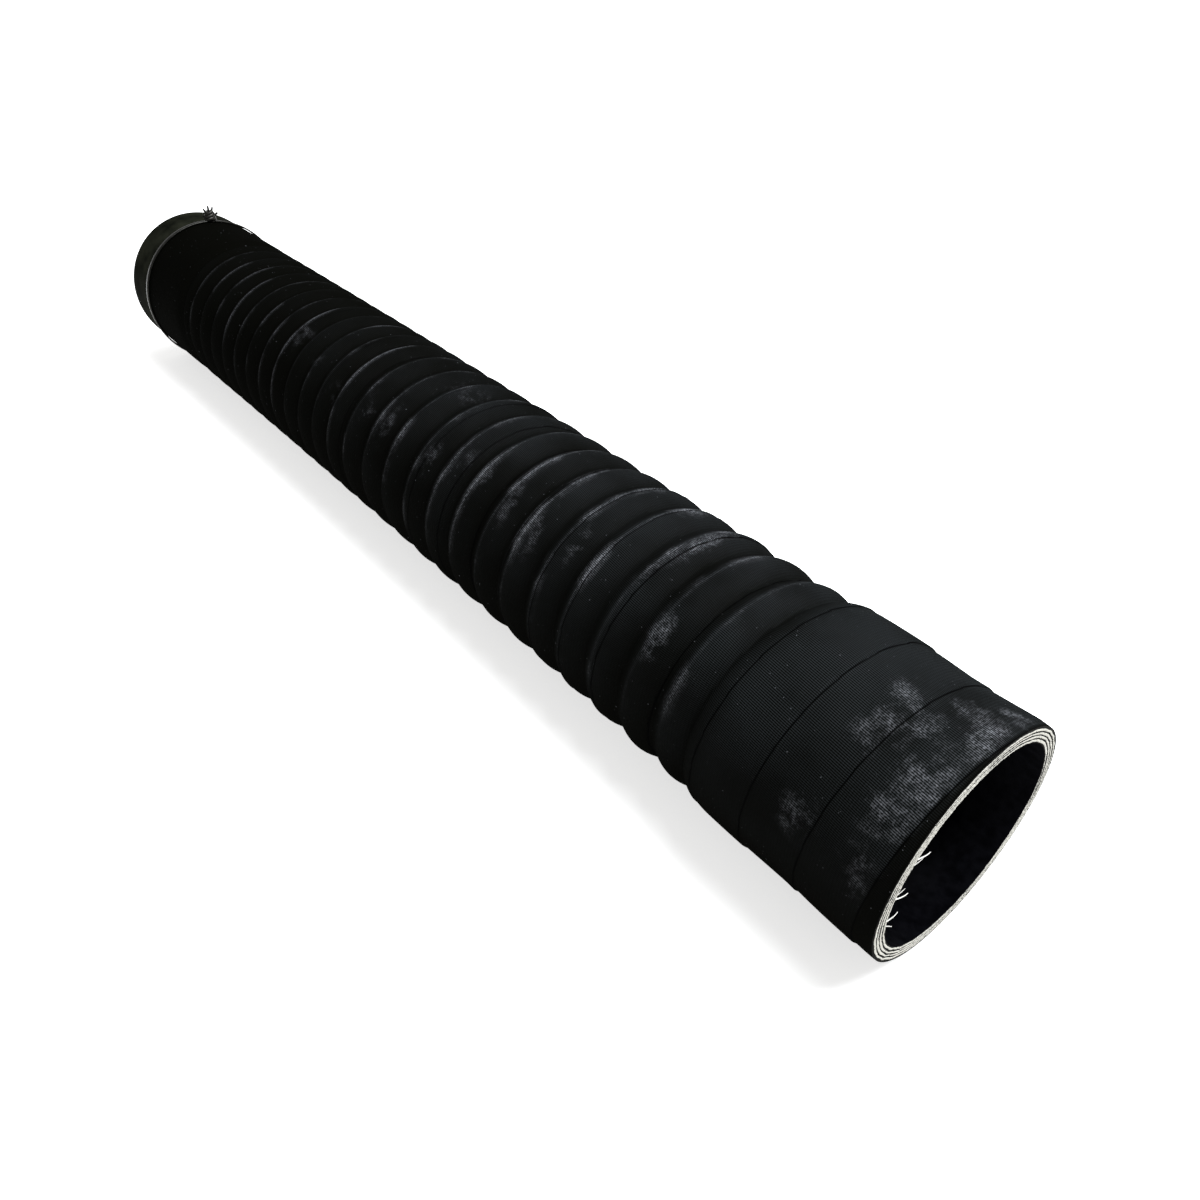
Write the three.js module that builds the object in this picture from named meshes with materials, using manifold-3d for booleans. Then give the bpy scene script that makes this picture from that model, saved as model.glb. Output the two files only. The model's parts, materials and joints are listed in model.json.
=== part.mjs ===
// A corrugated rubber hose: a hand-built fabric-reinforced tube with a plain cuff at each end and
// a left-handed spiral of rounded ribs between them, and a metal tie twisted round the far cuff.
// Millimetres, +Z up. The hose lies along X on the plane z = 0, with its near end at +X. Places
// along the hose are measured from the near end, and angles about it from its underside towards -Y.
import * as THREE from "three";
import { mergeVertices } from "three/addons/utils/BufferGeometryUtils.js";
import Module from "manifold-3d";

// Driving dimensions of the hose.
const length = 600;
const boreDiameter = 76;
const nearWall = 6;
const farWall = 6;
const sidewaysBow = 2.6;

// The plain cuffs. The near one ends in a groove that runs round a little askew, and it swells
// where it covers the first turn of the coil.
const nearCuffLength = 78;
const nearCuffSkew = 4;
const nearCuffLongestAngle = 60;
const farCuffLength = 79;
const shoulderRise = 1.3;
const shoulderLength = 36;
const shoulderDrop = 11;
const farDrop = 9;

// The spiral ribs, which stand closer together in the far half.
const nearPitch = 18.85;
const farPitch = 15.7;
const closerFrom = 325;
const grooveDepth = 2.9;
const ribHeight = 3.1;
const spiralStartAngle = 230;

// The tie round the far cuff, and the twist of its two ends.
const tieFromFarEnd = 26;
const tieWidth = 4;
const tieThickness = 1;
const tieThinEdge = 0.4;
const tieBevel = 0.33;
const tieClearance = 0.3;
const twistHeight = 7.5;
const twistWidth = 9;
const twistAngle = 188.5;
const lumpHeight = 5;
const cutEnds = 4;
const cutEndSpread = 50;
const cutEndRow = 4.5;
const shortestCutEnd = 6;
const cutRootDiameter = 2.8;
const cutTipDiameter = 1.4;

// How finely the round shapes are cut into flats.
const sides = 28;
const ribStations = [0, 0.15, 0.38, 0.62, 0.85];
const swellStations = [0, 0.5, 1];
const dropStations = [0.4, 0.75];
const leastStep = 1;
const boreRows = 6;
const cutEndSides = 7;

// Sizes worked out from the driving dimensions.
const fullTurn = 2 * Math.PI;
const boreRadius = boreDiameter / 2;
const nearCuffRadius = boreRadius + nearWall;
const farCuffRadius = boreRadius + farWall;
const grooveRadius = farCuffRadius - grooveDepth;
const shoulderRadius = nearCuffRadius + shoulderRise;
const tieInnerRadius = farCuffRadius + tieClearance;
const tieOuterRadius = tieInnerRadius + tieThickness;
const axisHeight = Math.max(shoulderRadius, tieOuterRadius) * Math.cos(Math.PI / sides);
const lastGroove = length - farCuffLength;
const turnsToChange = (closerFrom - nearCuffLength) / nearPitch;
const startTurns = spiralStartAngle / 360;

// How many turns of the spiral lie between the near cuff and a place along the hose.
function turnsAt(along) {
  if (along < closerFrom) return (along - nearCuffLength) / nearPitch;
  return turnsToChange + (along - closerFrom) / farPitch;
}

// The place along the hose where the spiral has made so many turns.
function alongAt(turns) {
  if (turns < turnsToChange) return nearCuffLength + turns * nearPitch;
  return closerFrom + (turns - turnsToChange) * farPitch;
}

// The phase of the spiral: a whole number in a groove, a half on the crest of a rib.
function phaseAt(along, angle) {
  return turnsAt(along) + startTurns + angle / fullTurn;
}

// The place of the groove that ends the near cuff.
function firstGroove(angle) {
  const askew = angle - THREE.MathUtils.degToRad(nearCuffLongestAngle);
  return nearCuffLength + nearCuffSkew * Math.cos(askew);
}

// A rib is a half sine between two grooves, and runs out against the ring groove at each cuff.
function outerRadius(along, angle) {
  const spiral = Math.abs(Math.sin(Math.PI * phaseAt(along, angle)));
  const fromNear = (along - firstGroove(angle)) / (nearPitch / 2);
  const fromFar = (lastGroove - along) / (farPitch / 2);
  const fromRing = Math.max(0, Math.min(fromNear, fromFar, 1));
  return grooveRadius + ribHeight * Math.min(spiral, Math.sin(fromRing * Math.PI / 2));
}

// The near cuff as places and radii: straight, a low swell, then a round drop into the first groove.
function nearLine(angle) {
  const shoulderTop = firstGroove(angle) - shoulderDrop;
  const dropHeight = shoulderRadius - grooveRadius;
  const line = [[0, nearCuffRadius]];
  for (const share of swellStations) {
    const radius = nearCuffRadius + shoulderRise * Math.sin((share * Math.PI) / 2);
    line.push([shoulderTop - (1 - share) * shoulderLength, radius]);
  }
  for (const share of dropStations) {
    const radius = grooveRadius + dropHeight * Math.sqrt(1 - share * share);
    line.push([shoulderTop + share * shoulderDrop, radius]);
  }
  return line;
}

// The far cuff: a soft rise out of the last groove, then straight to the end.
const farProfile = [
  [lastGroove + farDrop / 2, grooveRadius + grooveDepth * Math.SQRT1_2],
  [lastGroove + farDrop, farCuffRadius],
  [length, farCuffRadius],
];

function angleOf(side) {
  return ((side + 0.5) * fullTurn) / sides;
}

// The hose isn't quite straight: its middle lies a little towards +Y.
function bowAt(along) {
  const fromMiddle = (2 * along) / length - 1;
  return sidewaysBow * (1 - fromMiddle * fromMiddle);
}

// A point at a place along the hose, a radius and an angle, in the frame of the part.
function pointAt(along, radius, angle) {
  const across = bowAt(along) - radius * Math.sin(angle);
  return [length / 2 - along, across, axisHeight - radius * Math.cos(angle)];
}

// One line of places along the outside of the hose, from the near end to the far end.
function outerLine(angle) {
  const start = firstGroove(angle);
  const places = [start, lastGroove];
  const lastTurn = Math.ceil(phaseAt(lastGroove, angle));
  for (let rib = Math.floor(phaseAt(start, angle)); rib < lastTurn; rib++) {
    for (const share of ribStations) {
      const along = alongAt(rib + share - startTurns - angle / fullTurn);
      const clear = along > start + leastStep && along < lastGroove - leastStep;
      if (clear) places.push(along);
    }
  }
  places.sort((a, b) => a - b);
  const ribs = places.map((along) => [along, outerRadius(along, angle)]);
  return [...nearLine(angle), ...ribs, ...farProfile];
}

// The points of one side of the wall: its outer line, and the line back down the cut ends and bore.
function wallLine(side, positions) {
  const angle = angleOf(side);
  const outer = [];
  for (const [along, radius] of outerLine(angle)) {
    outer.push({ index: positions.length / 3, phase: phaseAt(along, angle) });
    positions.push(...pointAt(along, radius, angle));
  }
  const inner = [outer[0].index];
  for (let row = 0; row <= boreRows; row++) {
    inner.push(positions.length / 3);
    positions.push(...pointAt((length * row) / boreRows, boreRadius, angle));
  }
  inner.push(outer.at(-1).index);
  return { outer, inner };
}

// Two neighbouring outer lines are laced together in the order of the spiral's phase, so that
// crests and grooves run along the edges of the flats.
function laceOuter(here, next, wrap, faces) {
  let i = 0;
  let j = 0;
  while (i < here.length - 1 || j < next.length - 1) {
    const hereNext = i < here.length - 1 ? here[i + 1].phase : Infinity;
    const nextNext = j < next.length - 1 ? next[j + 1].phase + wrap : Infinity;
    if (hereNext <= nextNext) {
      faces.push(here[i].index, next[j].index, here[i + 1].index);
      i++;
    } else {
      faces.push(here[i].index, next[j].index, next[j + 1].index);
      j++;
    }
  }
}

// The wall of the hose as one closed surface: outside, bore and the two cut ends.
function hoseGeometry() {
  const positions = [];
  const faces = [];
  const lines = [];
  for (let side = 0; side < sides; side++) lines.push(wallLine(side, positions));
  for (let side = 0; side < sides; side++) {
    const here = lines[side];
    const next = lines[(side + 1) % sides];
    laceOuter(here.outer, next.outer, side === sides - 1 ? 1 : 0, faces);
    for (let row = 0; row < here.inner.length - 1; row++) {
      faces.push(here.inner[row], here.inner[row + 1], next.inner[row]);
      faces.push(next.inner[row], here.inner[row + 1], next.inner[row + 1]);
    }
  }
  const geometry = new THREE.BufferGeometry();
  geometry.setAttribute("position", new THREE.Float32BufferAttribute(positions, 3));
  geometry.setIndex(faces);
  geometry.computeVertexNormals();
  return geometry;
}

const wasm = await Module();
wasm.setup();

// A closed three.js geometry as a solid for joining.
function solidOf(geometry) {
  const plain = geometry.clone();
  plain.deleteAttribute("normal");
  plain.deleteAttribute("uv");
  const merged = mergeVertices(plain);
  const vertProperties = merged.getAttribute("position").array;
  const triVerts = new Uint32Array(merged.index.array);
  return new wasm.Manifold(new wasm.Mesh({ numProp: 3, vertProperties, triVerts }));
}

// A joined solid as a three.js geometry again.
function geometryOf(solid) {
  const mesh = solid.getMesh();
  const geometry = new THREE.BufferGeometry();
  geometry.setAttribute("position", new THREE.Float32BufferAttribute(mesh.vertProperties, 3));
  geometry.setIndex([...mesh.triVerts]);
  geometry.computeVertexNormals();
  return geometry;
}

// The band of the tie, turned about its own Y axis and then laid round the hose. Its edge towards
// the ribs stands proud, and the edge towards the end is thin.
function bandGeometry() {
  const half = tieWidth / 2;
  const profile = [
    new THREE.Vector2(tieInnerRadius, -half),
    new THREE.Vector2(tieOuterRadius - tieBevel, -half),
    new THREE.Vector2(tieOuterRadius, -half + tieBevel),
    new THREE.Vector2(tieInnerRadius + tieThinEdge, half),
    new THREE.Vector2(tieInnerRadius, half),
    new THREE.Vector2(tieInnerRadius, -half),
  ];
  const band = new THREE.LatheGeometry(profile, sides, Math.PI / sides);
  return band.rotateZ(Math.PI / 2);
}

// The lump where the ends of the band are twisted together, standing on z = 0.
function twistGeometry() {
  const lump = new THREE.IcosahedronGeometry(1, 1);
  lump.scale(tieWidth / 2, twistWidth / 2, lumpHeight / 2);
  return lump.translate(0, 0, lumpHeight / 2);
}

// The cut ends of the band: tapered pegs that fan out of the lump across the hose.
function cutEndGeometries() {
  const pegs = [];
  for (let end = 0; end < cutEnds; end++) {
    const share = end / (cutEnds - 1) - 0.5;
    const height = twistHeight - (twistHeight - shortestCutEnd) * 2 * Math.abs(share);
    const peg = new THREE.CylinderGeometry(cutTipDiameter / 2, cutRootDiameter / 2, height, cutEndSides);
    peg.rotateX(Math.PI / 2);
    peg.translate(0, 0, height / 2);
    peg.rotateX(-share * THREE.MathUtils.degToRad(cutEndSpread));
    peg.translate(0, share * cutEndRow, 0);
    pegs.push(peg);
  }
  return pegs;
}

// The band, its twisted ends and their cut tips, as one piece about the axis of the hose.
function tieGeometry() {
  let solid = solidOf(bandGeometry());
  const seat = tieInnerRadius + tieThickness / 2;
  for (const piece of [twistGeometry(), ...cutEndGeometries()]) {
    piece.translate(0, 0, seat);
    piece.rotateX(THREE.MathUtils.degToRad(180 - twistAngle));
    solid = solid.add(solidOf(piece));
  }
  return geometryOf(solid);
}

const rubber = new THREE.MeshStandardMaterial({ color: 0x17181a, roughness: 0.82, metalness: 0 });
const darkMetal = new THREE.MeshStandardMaterial({ color: 0x2b2b27, roughness: 0.35, metalness: 0.6 });

const hose = new THREE.Mesh(hoseGeometry(), rubber);
hose.name = "hose";

const tieAlong = length - tieFromFarEnd;
const tie = new THREE.Mesh(tieGeometry(), darkMetal);
tie.name = "tie";
tie.position.set(length / 2 - tieAlong, bowAt(tieAlong), axisHeight);

const part = new THREE.Group();
part.add(hose);
part.add(tie);

// The origin lies under the middle of the part.
const box = new THREE.Box3().setFromObject(part);
part.position.y = -(box.min.y + box.max.y) / 2;

export default part;
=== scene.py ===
# %% [markdown]
# A cured rubber hose, dressed for its picture. The hose was built by hand on a mandrel: a rubber
# tube, plies of fabric, a coiled spring, a rubber cover, and a cloth tape wound tightly round it all
# while it cured. The tape came off afterwards and left its weave and its lap lines in the rubber.
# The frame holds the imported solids, in metres, and every piece made here sits where they sit. Sizes
# below are in millimetres, as a hose maker gives them.

# %% Load the frame
import json
import math

import bpy
import numpy as np
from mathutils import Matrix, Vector


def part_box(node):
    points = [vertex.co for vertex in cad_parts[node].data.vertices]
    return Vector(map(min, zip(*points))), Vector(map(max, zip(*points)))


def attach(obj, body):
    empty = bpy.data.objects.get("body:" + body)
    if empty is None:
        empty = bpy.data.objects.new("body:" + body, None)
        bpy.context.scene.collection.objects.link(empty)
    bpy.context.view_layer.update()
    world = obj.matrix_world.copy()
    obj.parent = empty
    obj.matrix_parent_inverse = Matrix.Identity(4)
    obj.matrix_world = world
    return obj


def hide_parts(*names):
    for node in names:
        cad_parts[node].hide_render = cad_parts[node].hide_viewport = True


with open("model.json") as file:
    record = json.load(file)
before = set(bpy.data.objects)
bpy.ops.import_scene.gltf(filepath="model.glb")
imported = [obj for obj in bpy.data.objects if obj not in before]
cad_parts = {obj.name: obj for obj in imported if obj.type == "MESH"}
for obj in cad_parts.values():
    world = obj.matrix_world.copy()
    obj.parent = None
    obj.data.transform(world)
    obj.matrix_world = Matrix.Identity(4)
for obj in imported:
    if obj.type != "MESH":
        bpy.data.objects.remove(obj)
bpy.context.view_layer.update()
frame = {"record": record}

MM = 1000

# %% [markdown]
# The camera stands in front of the near end, a little above it, and looks along the hose and down at
# it. A wide lens this close makes the near cuff twice as large as the far one. It was placed by
# fitting a pinhole camera to the near rim, the two long outlines and the far rim.

# %% Camera
SENSOR = 36
LENS = 28.81
CAMERA_PLACE = (0.3679, -0.1998, 0.2850)
LINE_OF_SIGHT = Vector((-0.6014, 0.4933, -0.6280))
NEAREST_SEEN = 0.01
camera_data = bpy.data.cameras.new("hose_camera")
camera_data.sensor_width = SENSOR
camera_data.lens = LENS
camera_data.clip_start = NEAREST_SEEN
camera = bpy.data.objects.new("hose_camera", camera_data)
camera.location = CAMERA_PLACE
camera.rotation_euler = LINE_OF_SIGHT.to_track_quat("-Z", "Y").to_euler()
bpy.context.scene.collection.objects.link(camera)
bpy.context.scene.camera = camera
print("lens", LENS, "mm, looking", [round(part, 3) for part in LINE_OF_SIGHT])

# %% [markdown]
# Places on the hose are given in millimetres along it, from the near end, and as an angle from the
# underside towards the camera's side. The solids are cut into flats, and a flat's middle lies a
# little nearer the axis than its corners. The round surfaces made here touch the middles of the
# flats, so the hose rests on the same floor.

# %% Sizes of the hose, in millimetres
FLATS = 28
snug = math.cos(math.pi / FLATS)
hose_low, hose_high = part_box("hose")
LENGTH = (hose_high.x - hose_low.x) * MM
AXIS_HEIGHT = (hose_low.z + hose_high.z) / 2 * MM
AXIS_SIDE = frame["record"]["mounts"][0]["pos_m"][1] * MM
BOW = 2.6
BORE_RADIUS = 38.0
WALL = 6.0
CUFF_RADIUS = BORE_RADIUS + WALL
RIB_RADIUS = 44.0
GROOVE_RADIUS = 40.9
SHOULDER_RADIUS = 45.2
FIRST_GROOVE = 78.0
FIRST_GROOVE_TILT = 4.0
TILT_ANGLE = math.radians(60)
LAST_GROOVE = LENGTH - 79.0
NEAR_PITCH = 18.85
FAR_PITCH = 15.7
CLOSER_FROM = 325.0
START_TURNS = 230 / 360
TIE_ALONG = LENGTH - 26.0
print("axis height", round(AXIS_HEIGHT, 3), "and side", round(AXIS_SIDE, 3), "mm")

# %% [markdown]
# The ribs are one left-handed spiral, so a rib's place is a count of turns. The spring's turns stand
# closer in the far part, so the count is a line with one bend in it. The spiral could be drawn as a
# curve and swept, but with the count each point of the outside knows which rib it lies on.


# %% Places on the hose
def turns_at(along):
    """Turns of the spiral between the near cuff and a place along the hose."""
    change = (CLOSER_FROM - FIRST_GROOVE) / NEAR_PITCH
    near = (along - FIRST_GROOVE) / NEAR_PITCH
    far = change + (along - CLOSER_FROM) / FAR_PITCH
    return np.where(along < CLOSER_FROM, near, far)


def along_at(turns):
    """The place along the hose where the spiral has made so many turns."""
    change = (CLOSER_FROM - FIRST_GROOVE) / NEAR_PITCH
    near = FIRST_GROOVE + turns * NEAR_PITCH
    far = CLOSER_FROM + (turns - change) * FAR_PITCH
    return np.where(turns < change, near, far)


def first_groove(angle):
    """The place of the groove that ends the near cuff, which runs round it a little askew."""
    return FIRST_GROOVE + FIRST_GROOVE_TILT * np.cos(angle - TILT_ANGLE)


def place(along, radius, angle):
    """Points in metres from millimetres along, a radius, and an angle from the underside."""
    from_middle = 2 * along / LENGTH - 1
    x = LENGTH / 2 - along
    y = AXIS_SIDE + BOW * (1 - from_middle * from_middle) - radius * snug * np.sin(angle)
    z = AXIS_HEIGHT - radius * snug * np.cos(angle)
    return np.stack(np.broadcast_arrays(x, y, z), axis=-1) / MM


print("turns of the spiral", round(float(turns_at(LAST_GROOVE)), 1))

# %% [markdown]
# The ribs are the turns of a spring under the rubber cover. A displaced cylinder could give them, but
# the cover's real section is known: it sags between two turns as a half sine, with a sharp groove
# between them. So the radius is a formula of the place. The grooves get shallower towards the far
# cuff. The near cuff swells where it covers the first turn, and its end is a little out of round.

# %% Ribs and cuffs
SHOULDER_DROP = 11.0
SHOULDER_LENGTH = 36.0
FAR_DROP = 9.0
SHALLOWER_FROM = 250.0
SHALLOWER_OVER = 250.0
SHALLOWER_BY = 0.9
OUT_OF_ROUND = 0.4
OUT_OF_ROUND_PLACE = 22.0
OUT_OF_ROUND_REACH = 14.0


def rib_phase(along, angle):
    """Whole numbers in the grooves of the left-handed spiral, halves on its crests."""
    return turns_at(along) + START_TURNS + angle / math.tau


def groove_floor(along):
    """The radius at the bottom of the grooves, which are shallower towards the far cuff."""
    return GROOVE_RADIUS + SHALLOWER_BY * np.clip((along - SHALLOWER_FROM) / SHALLOWER_OVER, 0, 1)


def near_cuff_radius(along, angle):
    """A straight cuff that swells to its shoulder and drops round it into the first groove."""
    shoulder_top = first_groove(angle) - SHOULDER_DROP
    swell = np.clip((along - shoulder_top + SHOULDER_LENGTH) / SHOULDER_LENGTH, 0, 1)
    cuff = CUFF_RADIUS + (SHOULDER_RADIUS - CUFF_RADIUS) * np.sin(swell * math.pi / 2)
    fall = np.clip((along - shoulder_top) / SHOULDER_DROP, 0, 1)
    return GROOVE_RADIUS + (cuff - GROOVE_RADIUS) * np.sqrt(1 - fall * fall)


def rib_radius(along, angle):
    """Half sines between the grooves, which run out in a ring groove at each cuff."""
    spiral = np.abs(np.sin(math.pi * rib_phase(along, angle)))
    from_near = (along - first_groove(angle)) / (NEAR_PITCH / 2)
    from_far = (LAST_GROOVE - along) / (FAR_PITCH / 2)
    from_ring = np.clip(np.minimum(from_near, from_far), 0, 1)
    rise = np.minimum(spiral, np.sin(from_ring * math.pi / 2))
    return groove_floor(along) + (RIB_RADIUS - groove_floor(along)) * rise


def far_cuff_radius(along):
    """A straight cuff that rises out of the last groove."""
    rise = np.clip((along - LAST_GROOVE) / FAR_DROP, 0, 1)
    return groove_floor(along) + (CUFF_RADIUS - groove_floor(along)) * np.sin(rise * math.pi / 2)


print("grooves", round(RIB_RADIUS - GROOVE_RADIUS, 2), "mm deep, and in the far part",
      round(RIB_RADIUS - float(groove_floor(LAST_GROOVE)), 2), "mm")

# %% [markdown]
# The cure tape was wound the same way as the spring, left-handed, 22.9 mm on at each turn. Each lap
# covered the edge of the one before, so the rubber has a small step there, and it is thickest just
# after the step. One lap slipped near the first ribs, so the steps bend there. The step is part of
# the shape and not of the bump, because it shows on the outline. The laps fade towards the far end,
# where the tape was pulled tighter, and they stop short of the tie.

# %% Laps of the cure tape
TAPE_PITCH = 22.9
TAPE_STEP = 0.5
TAPE_START = 12.1
TAPE_RAMP = 4.0
TAPE_FULL_TO = 150.0
TAPE_FADE_OVER = 300.0
TAPE_LEAST = 0.15
TAPE_SHORT_OF_TIE = 3.0
TAPE_SLIP = 7.5
TAPE_SLIP_FROM = 130.0
TAPE_SLIP_REACH = 25.0


def tape_turns(along, angle):
    """Whole numbers on the edge of the cure tape, which is wound left-handed."""
    slip = TAPE_SLIP * np.exp(-(((along - TAPE_SLIP_FROM) / TAPE_SLIP_REACH) ** 2))
    return (along - slip - TAPE_START) / TAPE_PITCH + angle / math.tau


def tape_rise(along, angle):
    """How far the rubber stands out under a lap of the tape."""
    lap = tape_turns(along, angle) % 1.0
    ramp = np.clip(along / TAPE_RAMP, 0, 1)
    fade = np.clip(1 - (along - TAPE_FULL_TO) / TAPE_FADE_OVER, TAPE_LEAST, 1)
    taped = along < TIE_ALONG - TAPE_SHORT_OF_TIE
    return np.where(taped, TAPE_STEP * (1 - lap) * ramp * fade, 0)


def outside_radius(along, angle):
    """The outside of the hose: two cuffs, the ribs between them, and the laps of the tape."""
    near = near_cuff_radius(along, angle)
    past_ribs = np.where(along < LAST_GROOVE, rib_radius(along, angle), far_cuff_radius(along))
    radius = np.where(along < first_groove(angle), near, past_ribs)
    from_press = (along - OUT_OF_ROUND_PLACE) / OUT_OF_ROUND_REACH
    press = OUT_OF_ROUND * np.cos(angle - TILT_ANGLE) * np.exp(-from_press * from_press)
    return radius + press + tape_rise(along, angle)


print("laps of the tape", round(float(tape_turns(TIE_ALONG, 0)), 1))

# %% [markdown]
# One closed mesh makes the wall. Its outside is a fine grid of rings and lines. On each line the ring
# nearest to a groove is moved onto it, so the grooves stay sharp although they wind round the hose.
# A subdivided cylinder would need far more faces to keep them.

# %% Grid of the outside
LINES = 180
RING_STEP = 1.25
rings = int(LENGTH / RING_STEP)
line_angle = np.arange(LINES) * math.tau / LINES
along_grid = np.repeat(np.linspace(0, LENGTH, rings + 1)[:, None], LINES, axis=1)
every_line = np.arange(LINES)
SPARE_TURNS = 3
for turn in range(int(turns_at(LAST_GROOVE)) + SPARE_TURNS):
    groove = along_at(turn - START_TURNS - line_angle / math.tau)
    inside = (groove > first_groove(line_angle)) & (groove < LAST_GROOVE)
    nearest = np.rint(groove / RING_STEP).astype(int)
    along_grid[nearest[inside], every_line[inside]] = groove[inside]
for ring_groove in (first_groove(line_angle), np.full(LINES, LAST_GROOVE)):
    along_grid[np.rint(ring_groove / RING_STEP).astype(int), every_line] = ring_groove
outside_grid = outside_radius(along_grid, line_angle[None, :])
print("outside", rings, "rings of", LINES, "points, radius",
      round(float(outside_grid.min()), 2), "to", round(float(outside_grid.max()), 2), "mm")

# %% [markdown]
# Every round piece here is a closed grid: rings of points, where the last ring joins the first one
# and the last point of a ring joins its first. One function numbers the four corners of each field,
# and the wall, the cut plies and the tie's band all use it. A modifier that spins a profile would do
# for one of them, but not for the grooves of the wall.


# %% Closed grids
def grid_corners(rings_in_grid, points_in_ring):
    """Point numbers at the four corners of each field of a closed grid, in order round it."""
    row, line = np.meshgrid(np.arange(rings_in_grid), np.arange(points_in_ring), indexing="ij")
    next_row = (row + 1) % rings_in_grid
    next_line = (line + 1) % points_in_ring
    here = row * points_in_ring + line
    beside = row * points_in_ring + next_line
    corner = next_row * points_in_ring + next_line
    below = next_row * points_in_ring + line
    return here, beside, corner, below


def grid_mesh(name, along, radius, angle):
    """A smooth closed mesh of four-sided fields through rings of points."""
    points = place(along, radius, angle[None, :]).reshape(-1, 3)
    fields = np.stack(grid_corners(*along.shape), axis=-1).reshape(-1, 4)
    mesh = bpy.data.meshes.new(name)
    mesh.from_pydata(points.tolist(), [], fields.tolist())
    mesh.polygons.foreach_set("use_smooth", np.ones(len(fields), bool))
    return mesh


# %% Wall of the hose as one closed mesh
BORE_RINGS = 24
END_RINGS = 3
OUTSIDE, BORE_SIDE, CUT_END, BARE_EDGE = range(4)


def wall_sections():
    """Rings of (along, radius) all the way round the wall's section, with the finish after each."""
    sections = [(along_grid[row], outside_grid[row], OUTSIDE) for row in range(rings)]
    sections.append((along_grid[rings], outside_grid[rings], CUT_END))
    for step in range(1, END_RINGS):
        share = step / END_RINGS
        far_radius = outside_grid[rings] + (BORE_RADIUS - outside_grid[rings]) * share
        sections.append((along_grid[rings], far_radius, CUT_END))
    for step in range(BORE_RINGS):
        along = np.full(LINES, LENGTH * (1 - step / BORE_RINGS))
        sections.append((along, np.full(LINES, BORE_RADIUS), BORE_SIDE))
    sections.append((np.zeros(LINES), np.full(LINES, BORE_RADIUS), CUT_END))
    for step in range(1, END_RINGS):
        near_radius = BORE_RADIUS + (outside_grid[0] - BORE_RADIUS) * step / END_RINGS
        sections.append((np.zeros(LINES), near_radius, CUT_END))
    return sections


def set_finishes(mesh, along, finish):
    """Give each triangle its finish. Past the tie the outside is the bare edge."""
    row_of_face = np.repeat(np.arange(len(along)), 2 * LINES)
    face_finish = finish[row_of_face]
    past_tie = along[row_of_face, 0] > TIE_ALONG
    face_finish[(face_finish == OUTSIDE) & past_tie] = BARE_EDGE
    mesh.polygons.foreach_set("material_index", face_finish.astype(np.int32))
    return face_finish


def set_surface_places(mesh, faces, along, radius, face_finish):
    """Two layers of surface places: metres along and round, and turns of the ribs and the tape."""
    corner_rows = faces.reshape(-1) // LINES
    corner_lines = faces.reshape(-1) % LINES
    line_of_face = np.repeat(np.tile(np.arange(LINES), len(along)), 2)
    wrapped = (np.repeat(line_of_face, 3) == LINES - 1) & (corner_lines == 0)
    corner_angle = (corner_lines + LINES * wrapped) * math.tau / LINES
    corner_along = along[corner_rows, corner_lines]
    corner_radius = radius[corner_rows, corner_lines]
    on_end = np.repeat(face_finish == CUT_END, 3)
    across = np.where(on_end, corner_radius, corner_along) / MM
    around = corner_angle * CUFF_RADIUS / MM
    metres = mesh.uv_layers.new(name="along_and_round")
    metres.data.foreach_set("uv", np.stack([across, around], axis=-1).reshape(-1))
    turns = mesh.uv_layers.new(name="rib_and_tape_turns")
    ribs = rib_phase(corner_along, corner_angle)
    laps = tape_turns(corner_along, corner_angle)
    turns.data.foreach_set("uv", np.stack([ribs, laps], axis=-1).reshape(-1))


def build_wall():
    """The wall's mesh, and how far along and at what angle each of its points lies."""
    sections = wall_sections()
    along = np.array([section[0] for section in sections])
    radius = np.array([section[1] for section in sections])
    finish = np.array([section[2] for section in sections])
    points = place(along, radius, line_angle[None, :]).reshape(-1, 3)
    here, beside, corner, below = grid_corners(len(sections), LINES)
    first = np.stack([here, beside, below], axis=-1)
    second = np.stack([below, beside, corner], axis=-1)
    faces = np.concatenate([first, second], axis=2).reshape(-1, 3)
    mesh = bpy.data.meshes.new("hose_wall")
    mesh.from_pydata(points.tolist(), [], faces.tolist())
    mesh.polygons.foreach_set("use_smooth", np.ones(len(faces), bool))
    face_finish = set_finishes(mesh, along, finish)
    set_surface_places(mesh, faces, along, radius, face_finish)
    return mesh, along.reshape(-1), np.tile(line_angle, len(sections))


wall_mesh, wall_along, wall_angle = build_wall()
hose_wall = bpy.data.objects.new("hose_wall", wall_mesh)
bpy.context.scene.collection.objects.link(hose_wall)
print("wall", len(wall_mesh.vertices), "points,", len(wall_mesh.polygons), "triangles")
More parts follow.
